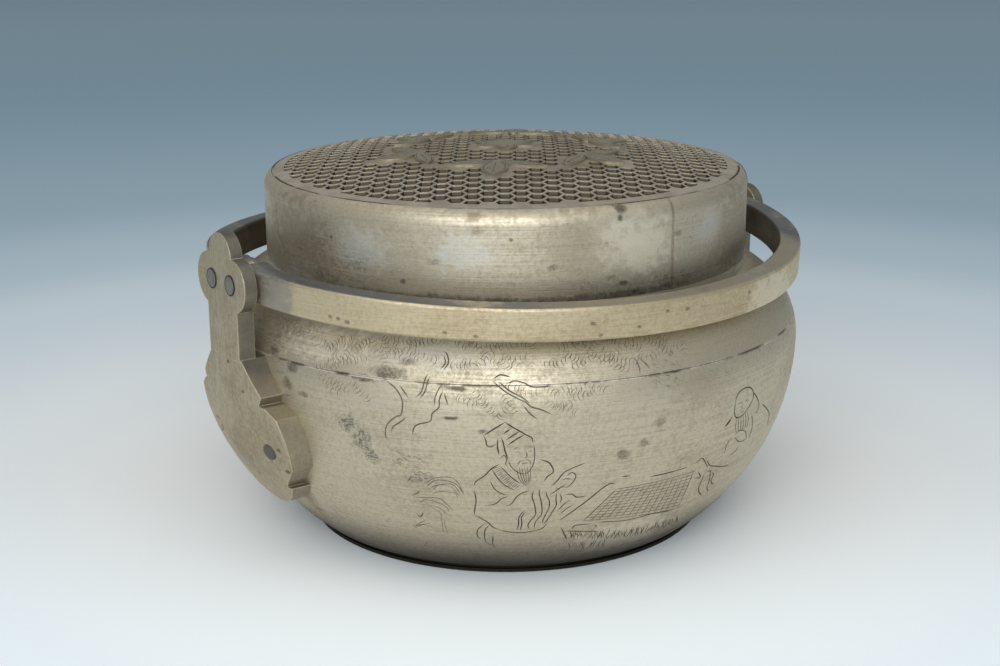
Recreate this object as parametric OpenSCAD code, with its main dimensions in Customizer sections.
// Round metal hand warmer: a two-shell vessel, a pierced domed lid and two swinging bails.
// Millimetres, +Z up, origin on the table under the middle, brackets on the X axis.

/* [Vessel] */
// Largest outside radius of the vessel
vessel_radius = 76.4; // [74:0.2:79]
// Height of the widest point above the table
widest_height = 49; // [46:0.5:53]
// Radius of the turned-in shoulder
shoulder_radius = 19.4; // [18:0.2:20.4]
// Height of the soldered seam above the widest point
seam_rise = 6; // [3:0.5:9]
// Wall of both shells
wall = 1.6; // [1:0.1:2.4]
// Width of the open seam line
seam_line = 0.3; // [0.2:0.1:0.9]

/* [Foot] */
// Radius of the foot at the table
foot_radius = 52.6; // [50:0.2:56]
// Step from the foot out to the lower edge of the bowl
foot_step = 0.9; // [0.4:0.1:1.6]
// Height of the foot
foot_height = 2; // [1.6:0.1:3]
// Depth of the groove above the foot's lip
foot_groove = 0.8; // [0.3:0.1:1.5]
// Height of the foot's lip
foot_lip = 0.8; // [0.5:0.1:1.2]
// Width of the ring that stands on the table
foot_width = 7; // [4:0.5:12]
// Hollow under the middle of the base
foot_hollow = 1; // [0.5:0.1:1.2]

/* [Collar] */
// Rise of the lid's seat above the shoulder
seat_rise = 1.8; // [1.2:0.1:2.6]
// Height of the collar above the lid's seat
collar_height = 9; // [7:0.2:9.8]
// Depth of the collar below the top of the shoulder
collar_tail = 3.2; // [2.4:0.2:5]
// Wall of the collar
collar_wall = 1.3; // [0.8:0.1:2]

/* [Lid] */
// Outside radius of the lid's wall
lid_radius = 62.4; // [60.5:0.1:63]
// Wall of the lid's band
lid_wall = 1.3; // [1:0.1:1.6]
// Height of the lid from its lower edge to the panel's edge
lid_depth = 21.2; // [19:0.2:23]
// Radius of the band's rounded top edge
lid_round = 4.2; // [3.4:0.1:5]
// Distance of the panel's edge inside the lid's wall
panel_inset = 2; // [1.6:0.1:2.6]
// Sideways clearance between the lid and the collar
lid_clearance = 0.4; // [0.3:0.05:0.6]
// Gap under the lid's lower edge
lid_rest_gap = 0.1; // [0.05:0.05:0.2]

/* [Pierced panel] */
// Rise of the domed panel above its edge
dome_rise = 5; // [3:0.5:8]
// Thickness of the panel
panel_thickness = 1.8; // [1:0.1:2.2]
// Width of the plain border
panel_border = 3.2; // [2:0.2:5]
// Width of the band's ledge under the panel
panel_ledge = 2.2; // [1.6:0.1:2.6]
// Thickness of the band's ledge under the panel
ledge_thickness = 1; // [0.6:0.1:1.6]
// Open line round the panel
panel_gap = 0.12; // [0.05:0.01:0.2]
// Distance between neighbouring cells
cell_pitch = 4.3; // [4:0.1:6]
// Width of the metal between cells
cell_web = 0.66; // [0.5:0.02:1]
// Turn of the cell rows about the lid's axis
cell_turn = -36; // [-60:0.5:0]

/* [Sprays] */
// Number of sprays round the panel
spray_count = 6; // [4:1:6]
// Distance of the buds from the lid's axis
spray_ring = 30; // [29:0.5:33]
// Turn of the first spray
spray_turn = -131; // [-180:0.5:0]
// Length of a bud
bud_length = 12; // [9:0.5:13]
// Width of a bud
bud_width = 6.6; // [4:0.2:7]
// Length of a leaf
leaf_length = 13; // [8:0.5:14]
// Width of a leaf
leaf_width = 4.4; // [3:0.2:5]
// Spread of the leaves from the bud's line
leaf_angle = 78; // [60:1:84]
// Length of a petal of the middle flower
petal_length = 8.6; // [6:0.2:9]
// Width of a petal of the middle flower
petal_width = 4.6; // [3:0.2:5]
// Radius of the boss where leaves and petals meet
boss_radius = 1.6; // [1:0.1:2.2]
// Relief of the sprays above the panel
spray_relief = 0.6; // [0.4:0.1:1]

/* [Bails] */
// Thickness of the bail's bar, in plan
bail_thickness = 5.6; // [5:0.1:6.6]
// Height of the bail's bar
bail_height = 8; // [7:0.1:8.4]
// Rounding of the bar's edges
bail_round = 0.8; // [0.4:0.1:1.4]
// Space between the lid's wall and the bail at the front
bail_front_gap = 7.3; // [6:0.1:8]
// Radius of the bail's eye
eye_radius = 4.3; // [3.9:0.1:4.5]
// Gap between a lowered bail and the shoulder
bail_rest_gap = 0.3; // [0.2:0.05:0.6]

/* [Pins] */
// Distance of each pin from the bracket's middle line
pin_offset = 4.75; // [4.6:0.05:5.2]
// Height of the pins above the top of the shoulder
pin_rise = 3.7; // [3.4:0.1:4.6]
// Radius of a pin
pin_radius = 2.45; // [2:0.05:2.6]
// Running clearance of a pin in a bail's eye
pin_clearance = 0.06; // [0.03:0.01:0.1]
// Radius of a pin's inner head
pin_head_radius = 3.5; // [3.2:0.1:4]
// Thickness of a pin's inner head
pin_head = 1; // [0.6:0.1:1.4]
// Height of a pin's end above the bracket
pin_proud = 0.2; // [0.1:0.05:0.6]

/* [Brackets] */
// Distance of the bracket's outer face from the widest wall
bracket_stand = 6; // [5.4:0.1:6.6]
// Thickness of the three-lobed head
head_thickness = 3.2; // [2.6:0.1:3.6]
// Thickness of the neck
neck_thickness = 4.3; // [3.8:0.1:4.8]
// Half width of the neck
neck_half = 7.5; // [6.6:0.1:8]
// Radius of the head's side lobes
side_lobe_radius = 6.3; // [5.8:0.1:6.8]
// Distance of the side lobes from the middle line
side_lobe_offset = 6; // [5.4:0.1:6.4]
// Radius of the head's top lobe
top_lobe_radius = 5.6; // [5:0.1:6.2]
// Height of the top lobe above the pins
top_lobe_rise = 6.2; // [5.6:0.1:6.8]
// Sideways clearance between a bail and the heads
bail_side_gap = 0.3; // [0.2:0.05:0.5]
// Height of the leaf plate's top above the widest point
plate_rise = 5.5; // [4.5:0.5:7]
// Drop from the leaf plate's top to its upper points
point_drop = 7.6; // [7:0.1:8.4]
// Half width of the leaf plate at its upper points
point_half = 14.7; // [13.6:0.1:15.2]
// Depth of the bites under the upper points
bite_depth = 1.2; // [0.8:0.1:2]
// Drop from the leaf plate's top to the roots of its broad lobes
root_drop = 9.9; // [9.4:0.1:10.6]
// Half width of the leaf plate at the roots of its broad lobes
root_half = 15.4; // [15:0.1:16]
// Drop from the leaf plate's top to the upper corners of its broad lobes
corner_drop = 12.2; // [11.6:0.1:13]
// Half width of the leaf plate at the upper corners of its broad lobes
corner_half = 19; // [18.4:0.1:19.6]
// Drop from the leaf plate's top to the middle of its broad lobes
broad_drop = 19; // [18:0.5:20]
// Radius of the broad lobes
broad_radius = 16.1; // [15.6:0.1:16.6]
// Distance of the middle of the broad lobes from the middle line
broad_offset = 4.4; // [4:0.1:5]
// Drop from the leaf plate's top to the middle of its tip's arc
tip_drop = 21.1; // [20:0.1:22]
// Radius of the tip's arc
tip_radius = 18.2; // [17.6:0.1:18.8]
// Drop from the leaf plate's top to the side notches
notch_drop = 31.6; // [31:0.1:32.4]
// Half width left between the side notches
notch_half = 13.1; // [12.4:0.1:13.8]
// Rise of the side notches towards the edge
notch_rise = 7.5; // [6:0.1:8.4]
// Fall of the side notches towards the edge
notch_fall = 0.4; // [0:0.1:1]
// Thickness of the plate at its tip
tip_thickness = 4.4; // [3.8:0.1:4.8]

/* [Rivets] */
// Radius of a rivet
rivet_radius = 2; // [1.6:0.1:2.4]
// Distance of the rivets from the bracket's middle line
rivet_offset = 12.4; // [11:0.2:13]
// Slope of the rivets below level
rivet_slope = 14.5; // [12:0.5:18]
// Radius of a rivet's inner head
rivet_head_radius = 3; // [2.6:0.1:3.6]
// Thickness of a rivet's inner head
rivet_head = 0.9; // [0.6:0.1:1.4]
// Height of a rivet's end above the plate
rivet_proud = 0.3; // [0.2:0.05:0.5]

/* [Hidden] */
$fn = 144;
fine_steps = 1440;
corner_steps = 48;
overlap = 0.5;
reach = 200;
metal = [0.62, 0.59, 0.52];
metal_dark = [0.42, 0.38, 0.31];
cast_metal = [0.66, 0.59, 0.47];
pin_metal = [0.50, 0.49, 0.45];

// Vessel arcs: one below the widest point and one above it
bottom_radius = foot_radius + foot_step;
bowl_drop = widest_height - foot_height;
bowl_inset = vessel_radius - bottom_radius;
bowl_arc = (bowl_inset * bowl_inset + bowl_drop * bowl_drop) / (2 * bowl_inset);
bowl_centre = vessel_radius - bowl_arc;
shoulder_centre = vessel_radius - shoulder_radius;
shoulder_top = widest_height + shoulder_radius;
base_top = foot_height + bowl_drop / 3;
seam_height = widest_height + seam_rise;
seam_radius = shoulder_centre + sqrt(pow(shoulder_radius, 2) - pow(seam_rise, 2));
floor_radius = bowl_centre + sqrt(pow(bowl_arc - wall, 2) - pow(bowl_drop, 2));

// Lid and collar
collar_radius = lid_radius - lid_wall - lid_clearance;
seat_height = shoulder_top + seat_rise;
lid_bottom = seat_height + lid_rest_gap;
panel_radius = lid_radius - panel_inset;
panel_edge = lid_bottom + lid_depth;
ledge_radius = panel_radius - panel_ledge;
ledge_height = panel_edge - panel_thickness - ledge_thickness;
round_centre = lid_radius - lid_round;
round_height = panel_edge - sqrt(pow(lid_round, 2) - pow(panel_radius - round_centre, 2));
dome_radius = (panel_radius * panel_radius + dome_rise * dome_rise) / (2 * dome_rise);
dome_centre = panel_edge + dome_rise - dome_radius;
cell_field = panel_radius - panel_border;
cell_size = (cell_pitch - cell_web) / sqrt(3);
column_step = cell_pitch * sqrt(3) / 2;
cell_columns = ceil(cell_field / column_step);
cell_rows = ceil(cell_field / cell_pitch) + 1;
petal_count = 6;
plain_margin = cell_pitch / 4;
bud_root = spray_ring - bud_length / 2;

// Pins, brackets and bails
pin_height = shoulder_top + pin_rise;
plate_face = vessel_radius + bracket_stand;
head_inner = plate_face - head_thickness;
bail_half_span = head_inner - bail_side_gap;
bail_depth = lid_radius + bail_front_gap + bail_thickness - pin_offset;
bail_arc = (bail_half_span * bail_half_span + bail_depth * bail_depth) / (2 * bail_depth);
arc_shift = bail_arc - bail_depth;
arc_half = atan2(bail_half_span, arc_shift);
eye_hole = pin_radius + pin_clearance;
eye_inner = sqrt(pow(bail_arc - bail_thickness, 2) - pow(arc_shift + pin_head_radius, 2));
pin_start = eye_inner - bail_side_gap - pin_head;

// Angle at which a lowered bail comes to rest on the shoulder
bail_inside = bail_depth - bail_thickness;
corner_reach = sqrt(pow(bail_inside, 2) + pow(bail_height / 2, 2));
rest_side = shoulder_centre - pin_offset;
rest_drop = pin_height - widest_height;
rest_line = sqrt(pow(rest_side, 2) + pow(rest_drop, 2));
rest_radius = shoulder_radius + bail_rest_gap;
rest_cosine = (rest_line * rest_line + corner_reach * corner_reach - rest_radius * rest_radius)
    / (2 * rest_line * corner_reach);
bail_droop = atan2(rest_drop, rest_side) - acos(rest_cosine) - atan2(bail_height / 2, bail_inside);

// Leaf plate: its outer face is an arc that runs flush into the neck
plate_top = widest_height + plate_rise;
tip_low = plate_top - tip_drop - tip_radius;
tip_wall = bowl_centre + sqrt(pow(bowl_arc, 2) - pow(widest_height - tip_low, 2));
face_start = plate_top - point_drop / 2;
face_inset = plate_face - tip_wall - tip_thickness;
face_drop = face_start - tip_low;
face_arc = (face_inset * face_inset + face_drop * face_drop) / (2 * face_inset);
face_centre = plate_face - face_arc;
root_height = plate_top - root_drop;
broad_height = plate_top - broad_drop;
notch_height = plate_top - notch_drop;
edge_half = broad_offset + broad_radius;
neck_top = pin_height - side_lobe_radius;
bracket_start = bottom_radius / 2;

// Rivets point at the centre of the bowl's arc
rivet_run = bowl_centre + bowl_arc * cos(rivet_slope);
rivet_seat = sqrt(pow(bowl_arc - wall, 2) - pow(rivet_head_radius, 2));
rivet_turn = asin(rivet_offset / rivet_run);
centre_gap = [face_centre - bowl_centre, face_start - widest_height];
rivet_line = [cos(rivet_slope), -sin(rivet_slope)];
gap_along = centre_gap * rivet_line;
rivet_end = gap_along + sqrt(pow(face_arc, 2) - centre_gap * centre_gap + gap_along * gap_along);

// Half section of the vessel, filled to the axis and drawn in by an amount
module vessel_section(inset) {
    intersection() {
        translate([bowl_centre, widest_height])
            circle(bowl_arc - inset, $fn = fine_steps);
        translate([0, foot_height + inset])
            square([reach, bowl_drop - inset]);
    }
    translate([0, foot_height + inset])
        square([floor_radius, bowl_drop - inset]);
    translate([shoulder_centre, widest_height])
        intersection() {
            circle(shoulder_radius - inset, $fn = fine_steps);
            square(reach);
        }
    translate([0, widest_height])
        square([shoulder_centre, shoulder_radius - inset]);
}

// Half section of the vessel's wall between two heights
module wall_section(low, high) {
    difference() {
        intersection() {
            vessel_section(0);
            translate([0, low])
                square([reach, high - low]);
        }
        vessel_section(wall);
        translate([seam_radius, seam_height])
            rotate(45)
                square(seam_line, center = true);
    }
}

// Places its children on a rivet's line, which leaves the bowl arc's centre along +Z
module on_rivet_lines(side) {
    for (turn = [-rivet_turn, rivet_turn])
        rotate(turn + (side < 0 ? 180 : 0))
            translate([bowl_centre, 0, widest_height])
                rotate([0, 90 + rivet_slope, 0])
                    children();
}

// Plate that closes the bowl from below and stands on a narrow ring
module base_plate() {
    color(metal_dark)
        rotate_extrude() {
            translate([0, foot_hollow])
                square([foot_radius - foot_groove, foot_height - foot_hollow]);
            translate([foot_radius - foot_width, 0])
                square([foot_width, foot_lip]);
            translate([foot_radius - foot_width, 0])
                square([foot_width - foot_groove, foot_height]);
        }
}

// Lowest ring of the bowl, open below
module body_base() {
    color(metal)
        rotate_extrude()
            difference() {
                wall_section(foot_height, base_top);
                square([floor_radius, base_top]);
            }
}

// Bowl's wall from its lowest ring up to the seam, with the holes for the rivets
module body_lower() {
    color(metal)
        difference() {
            rotate_extrude()
                wall_section(base_top, seam_height);
            for (side = [-1, 1])
                on_rivet_lines(side)
                    cylinder(r = rivet_radius, h = bowl_arc + wall);
        }
}

module body_shoulder() {
    color(metal)
        rotate_extrude()
            difference() {
                wall_section(seam_height, shoulder_top);
                square([collar_radius, reach]);
            }
}

// Upright ring round the mouth with a flange that carries the lid
module neck_collar() {
    color(metal)
        rotate_extrude() {
            translate([collar_radius - collar_wall, shoulder_top - collar_tail])
                square([collar_wall, seat_rise + collar_height + collar_tail]);
            difference() {
                translate([collar_radius, widest_height])
                    square([lid_radius - collar_radius, seat_height - widest_height]);
                vessel_section(0);
            }
        }
}

// Half section of the lid's band, filled to the axis and drawn in by an amount
module band_section(inset) {
    translate([0, lid_bottom - overlap])
        square([lid_radius - inset, round_height - lid_bottom + overlap]);
    translate([0, round_height])
        square([round_centre, lid_round - inset]);
    translate([round_centre, round_height])
        intersection() {
            circle(lid_round - inset);
            square(lid_round);
        }
}

// Deep cap with a rounded top edge, a seat for the panel and a ledge under it
module lid_band() {
    color(metal)
        rotate_extrude()
            difference() {
                band_section(0);
                difference() {
                    band_section(lid_wall);
                    translate([ledge_radius, ledge_height])
                        square(reach);
                }
                square([ledge_radius, reach]);
                square([reach, lid_bottom]);
                difference() {
                    square([panel_radius, reach]);
                    translate([0, dome_centre])
                        circle(dome_radius - panel_thickness, $fn = fine_steps);
                }
            }
}

// Dome-shaped sheet between two distances from the panel's outer face
module dome_sheet(radius, below, above) {
    rotate_extrude()
        intersection() {
            translate([0, dome_centre])
                difference() {
                    circle(dome_radius + above, $fn = fine_steps);
                    circle(dome_radius - below, $fn = fine_steps);
                }
            translate([0, lid_bottom])
                square([radius, reach]);
        }
}

// Pointed oval along +X that starts at the origin
module pointed_oval(length, width) {
    arc = (length * length + width * width) / (4 * width);
    translate([length / 2, 0])
        intersection() {
            translate([0, arc - width / 2])
                circle(arc);
            translate([0, width / 2 - arc])
                circle(arc);
        }
}

// Where a place lies inside a pointed oval's ellipse, the value is under one
function oval_value(place, root, turn, length, width) =
    let (away = place - root)
    let (along = away[0] * cos(turn) + away[1] * sin(turn) - length / 2)
    let (across = away[1] * cos(turn) - away[0] * sin(turn))
    pow(along / (length / 2 + plain_margin), 2) + pow(across / (width / 2 + plain_margin), 2);

function spray_angle(number) = spray_turn + number * 360 / spray_count;
function spray_root(number) = bud_root * [cos(spray_angle(number)), sin(spray_angle(number))];

function under_spray(place, number) =
    min(
        oval_value(place, spray_root(number), spray_angle(number), bud_length, bud_width),
        oval_value(place, spray_root(number), spray_angle(number) - leaf_angle, leaf_length, leaf_width),
        oval_value(place, spray_root(number), spray_angle(number) + leaf_angle, leaf_length, leaf_width)
    ) < 1;

function is_plain(place) =
    norm(place) < petal_length + cell_size
    || len([for (number = [0 : spray_count - 1]) if (under_spray(place, number)) number]) > 0;

cell_places = [
    for (column = [-cell_columns : cell_columns])
        for (row = [-cell_rows : cell_rows])
            let (across = column * column_step)
            let (along = cell_pitch * (row + (column % 2 == 0 ? 0 : 0.5)))
            let (place = [
                across * cos(cell_turn) - along * sin(cell_turn),
                across * sin(cell_turn) + along * cos(cell_turn)
            ])
            if (norm(place) < cell_field && !is_plain(place)) place
];
whole_cells = [for (place = cell_places) if (norm(place) + cell_size < cell_field) place];
border_cells = [for (place = cell_places) if (norm(place) + cell_size >= cell_field) place];

module cells(places) {
    for (place = places)
        translate(place)
            rotate(cell_turn)
                circle(cell_size, $fn = 6);
}

// Domed honeycomb sheet, left plain under the sprays
module lid_grille() {
    color(metal_dark)
        difference() {
            dome_sheet(panel_radius - panel_gap, panel_thickness, 0);
            translate([0, 0, lid_bottom])
                linear_extrude(reach) {
                    cells(whole_cells);
                    intersection() {
                        circle(cell_field);
                        cells(border_cells);
                    }
                }
        }
}

module lid_sprays() {
    color(metal)
        intersection() {
            dome_sheet(cell_field, 0, spray_relief);
            translate([0, 0, lid_bottom])
                linear_extrude(reach) {
                    for (number = [0 : spray_count - 1])
                        rotate(spray_angle(number))
                            translate([bud_root, 0]) {
                                circle(boss_radius);
                                pointed_oval(bud_length, bud_width);
                                for (turn = [-leaf_angle, leaf_angle])
                                    rotate(turn)
                                        pointed_oval(leaf_length, leaf_width);
                            }
                    circle(boss_radius);
                    for (number = [0 : petal_count - 1])
                        rotate(number * 360 / petal_count)
                            pointed_oval(petal_length, petal_width);
                }
        }
}

// One half of the leaf plate's outline, in the plane across the bracket: Y to the right, height upwards
module half_leaf() {
    polygon([
        [0, plate_top], [neck_half, plate_top], [point_half, plate_top - point_drop],
        [point_half - bite_depth, root_height], [0, broad_height]
    ]);
    intersection() {
        translate([broad_offset, broad_height])
            circle(broad_radius);
        polygon([
            [0, tip_low], [0, root_height], [root_half, root_height],
            [corner_half, plate_top - corner_drop], [reach, tip_low]
        ]);
    }
    intersection() {
        translate([0, plate_top - tip_drop])
            circle(tip_radius);
        translate([0, tip_low])
            square([reach, broad_height - tip_low]);
    }
}

// Outline of the leaf plate, with its side notches
module leaf_outline() {
    for (side = [0, 1])
        mirror([side, 0])
            difference() {
                half_leaf();
                polygon([
                    [notch_half, notch_height],
                    [edge_half, notch_height + notch_rise],
                    [edge_half, notch_height - notch_fall]
                ]);
            }
}

module head_outline() {
    for (side = [-1, 1])
        translate([side * side_lobe_offset, pin_height])
            circle(side_lobe_radius);
    translate([0, pin_height + top_lobe_rise])
        circle(top_lobe_radius);
    translate([-side_lobe_offset, neck_top])
        square([2 * side_lobe_offset, side_lobe_radius + top_lobe_rise / 2]);
}

// Upright plate across the X axis from one distance to another
module across_x(near, far) {
    translate([near, 0, 0])
        rotate([90, 0, 90])
            linear_extrude(far - near)
                children();
}

// Bracket on the +X side: head and neck are flat, the leaf plate follows the bowl
module bracket() {
    difference() {
        union() {
            intersection() {
                rotate_extrude()
                    difference() {
                        union() {
                            intersection() {
                                translate([face_centre, face_start])
                                    circle(face_arc, $fn = fine_steps);
                                square([reach, face_start]);
                            }
                            translate([0, face_start])
                                square([plate_face, plate_top - face_start]);
                        }
                        vessel_section(0);
                    }
                across_x(bracket_start, reach)
                    leaf_outline();
            }
            across_x(plate_face - neck_thickness, plate_face)
                translate([-neck_half, plate_top - overlap])
                    square([2 * neck_half, neck_top - plate_top + 2 * overlap]);
            across_x(head_inner, plate_face)
                head_outline();
        }
        for (side = [-1, 1])
            translate([0, side * pin_offset, pin_height])
                rotate([0, 90, 0])
                    cylinder(r = pin_radius, h = reach);
        on_rivet_lines(1)
            cylinder(r = rivet_radius, h = reach);
    }
}

module bracket_left() {
    color(cast_metal)
        mirror([1, 0, 0])
            bracket();
}

module bracket_right() {
    color(cast_metal)
        bracket();
}

// Two rivets through the leaf plate and the bowl's wall
module rivets(side) {
    color(pin_metal)
        on_rivet_lines(side)
            translate([0, 0, rivet_seat - rivet_head]) {
                cylinder(r = rivet_head_radius, h = rivet_head);
                cylinder(r = rivet_radius, h = rivet_end + rivet_proud - rivet_seat + rivet_head);
            }
}

module rivets_left() {
    rivets(-1);
}

module rivets_right() {
    rivets(1);
}

// Pin along X with its head inside the bail's eye
module pin(side_x, side_y) {
    color(pin_metal)
        mirror([side_x < 0 ? 1 : 0, 0, 0])
            translate([pin_start, side_y * pin_offset, pin_height])
                rotate([0, 90, 0]) {
                    cylinder(r = pin_head_radius, h = pin_head);
                    cylinder(r = pin_radius, h = plate_face + pin_proud - pin_start);
                }
}

module pin_front_left() {
    pin(-1, -1);
}

module pin_front_right() {
    pin(1, -1);
}

module pin_rear_left() {
    pin(-1, 1);
}

module pin_rear_right() {
    pin(1, 1);
}

// Rounded section of the bail's bar, with its outer face at an arc's radius
module bar_section(arc) {
    translate([arc - bail_thickness, -bail_height / 2]) {
        translate([bail_round, 0])
            square([bail_thickness - 2 * bail_round, bail_height]);
        translate([0, bail_round])
            square([bail_thickness, bail_height - 2 * bail_round]);
        for (x = [bail_round, bail_thickness - bail_round])
            for (y = [bail_round, bail_height - bail_round])
                translate([x, y])
                    circle(bail_round, $fn = corner_steps);
    }
}

// Hoop in front of the pins, one level arc, with its pivot line on the X axis
module bail_hoop() {
    translate([0, arc_shift, 0])
        rotate(-90 - arc_half)
            rotate_extrude(angle = 2 * arc_half)
                bar_section(bail_arc);
}

module bail_eye(radius, from, to) {
    translate([from, 0, 0])
        rotate([0, 90, 0])
            cylinder(r = radius, h = to - from);
}

// One bail, turned down about its pins until it rests on the shoulder
module front_bail() {
    color(cast_metal)
        translate([0, -pin_offset, pin_height])
            rotate([bail_droop, 0, 0])
                difference() {
                    union() {
                        bail_hoop();
                        for (side = [0, 1])
                            mirror([side, 0, 0])
                                bail_eye(eye_radius, eye_inner, bail_half_span);
                    }
                    bail_eye(eye_hole, -reach, reach);
                }
}

module rear_bail() {
    mirror([0, 1, 0])
        front_bail();
}

base_plate();
body_base();
body_lower();
body_shoulder();
neck_collar();
lid_band();
lid_grille();
lid_sprays();
bracket_left();
bracket_right();
rivets_left();
rivets_right();
pin_front_left();
pin_front_right();
pin_rear_left();
pin_rear_right();
front_bail();
rear_bail();
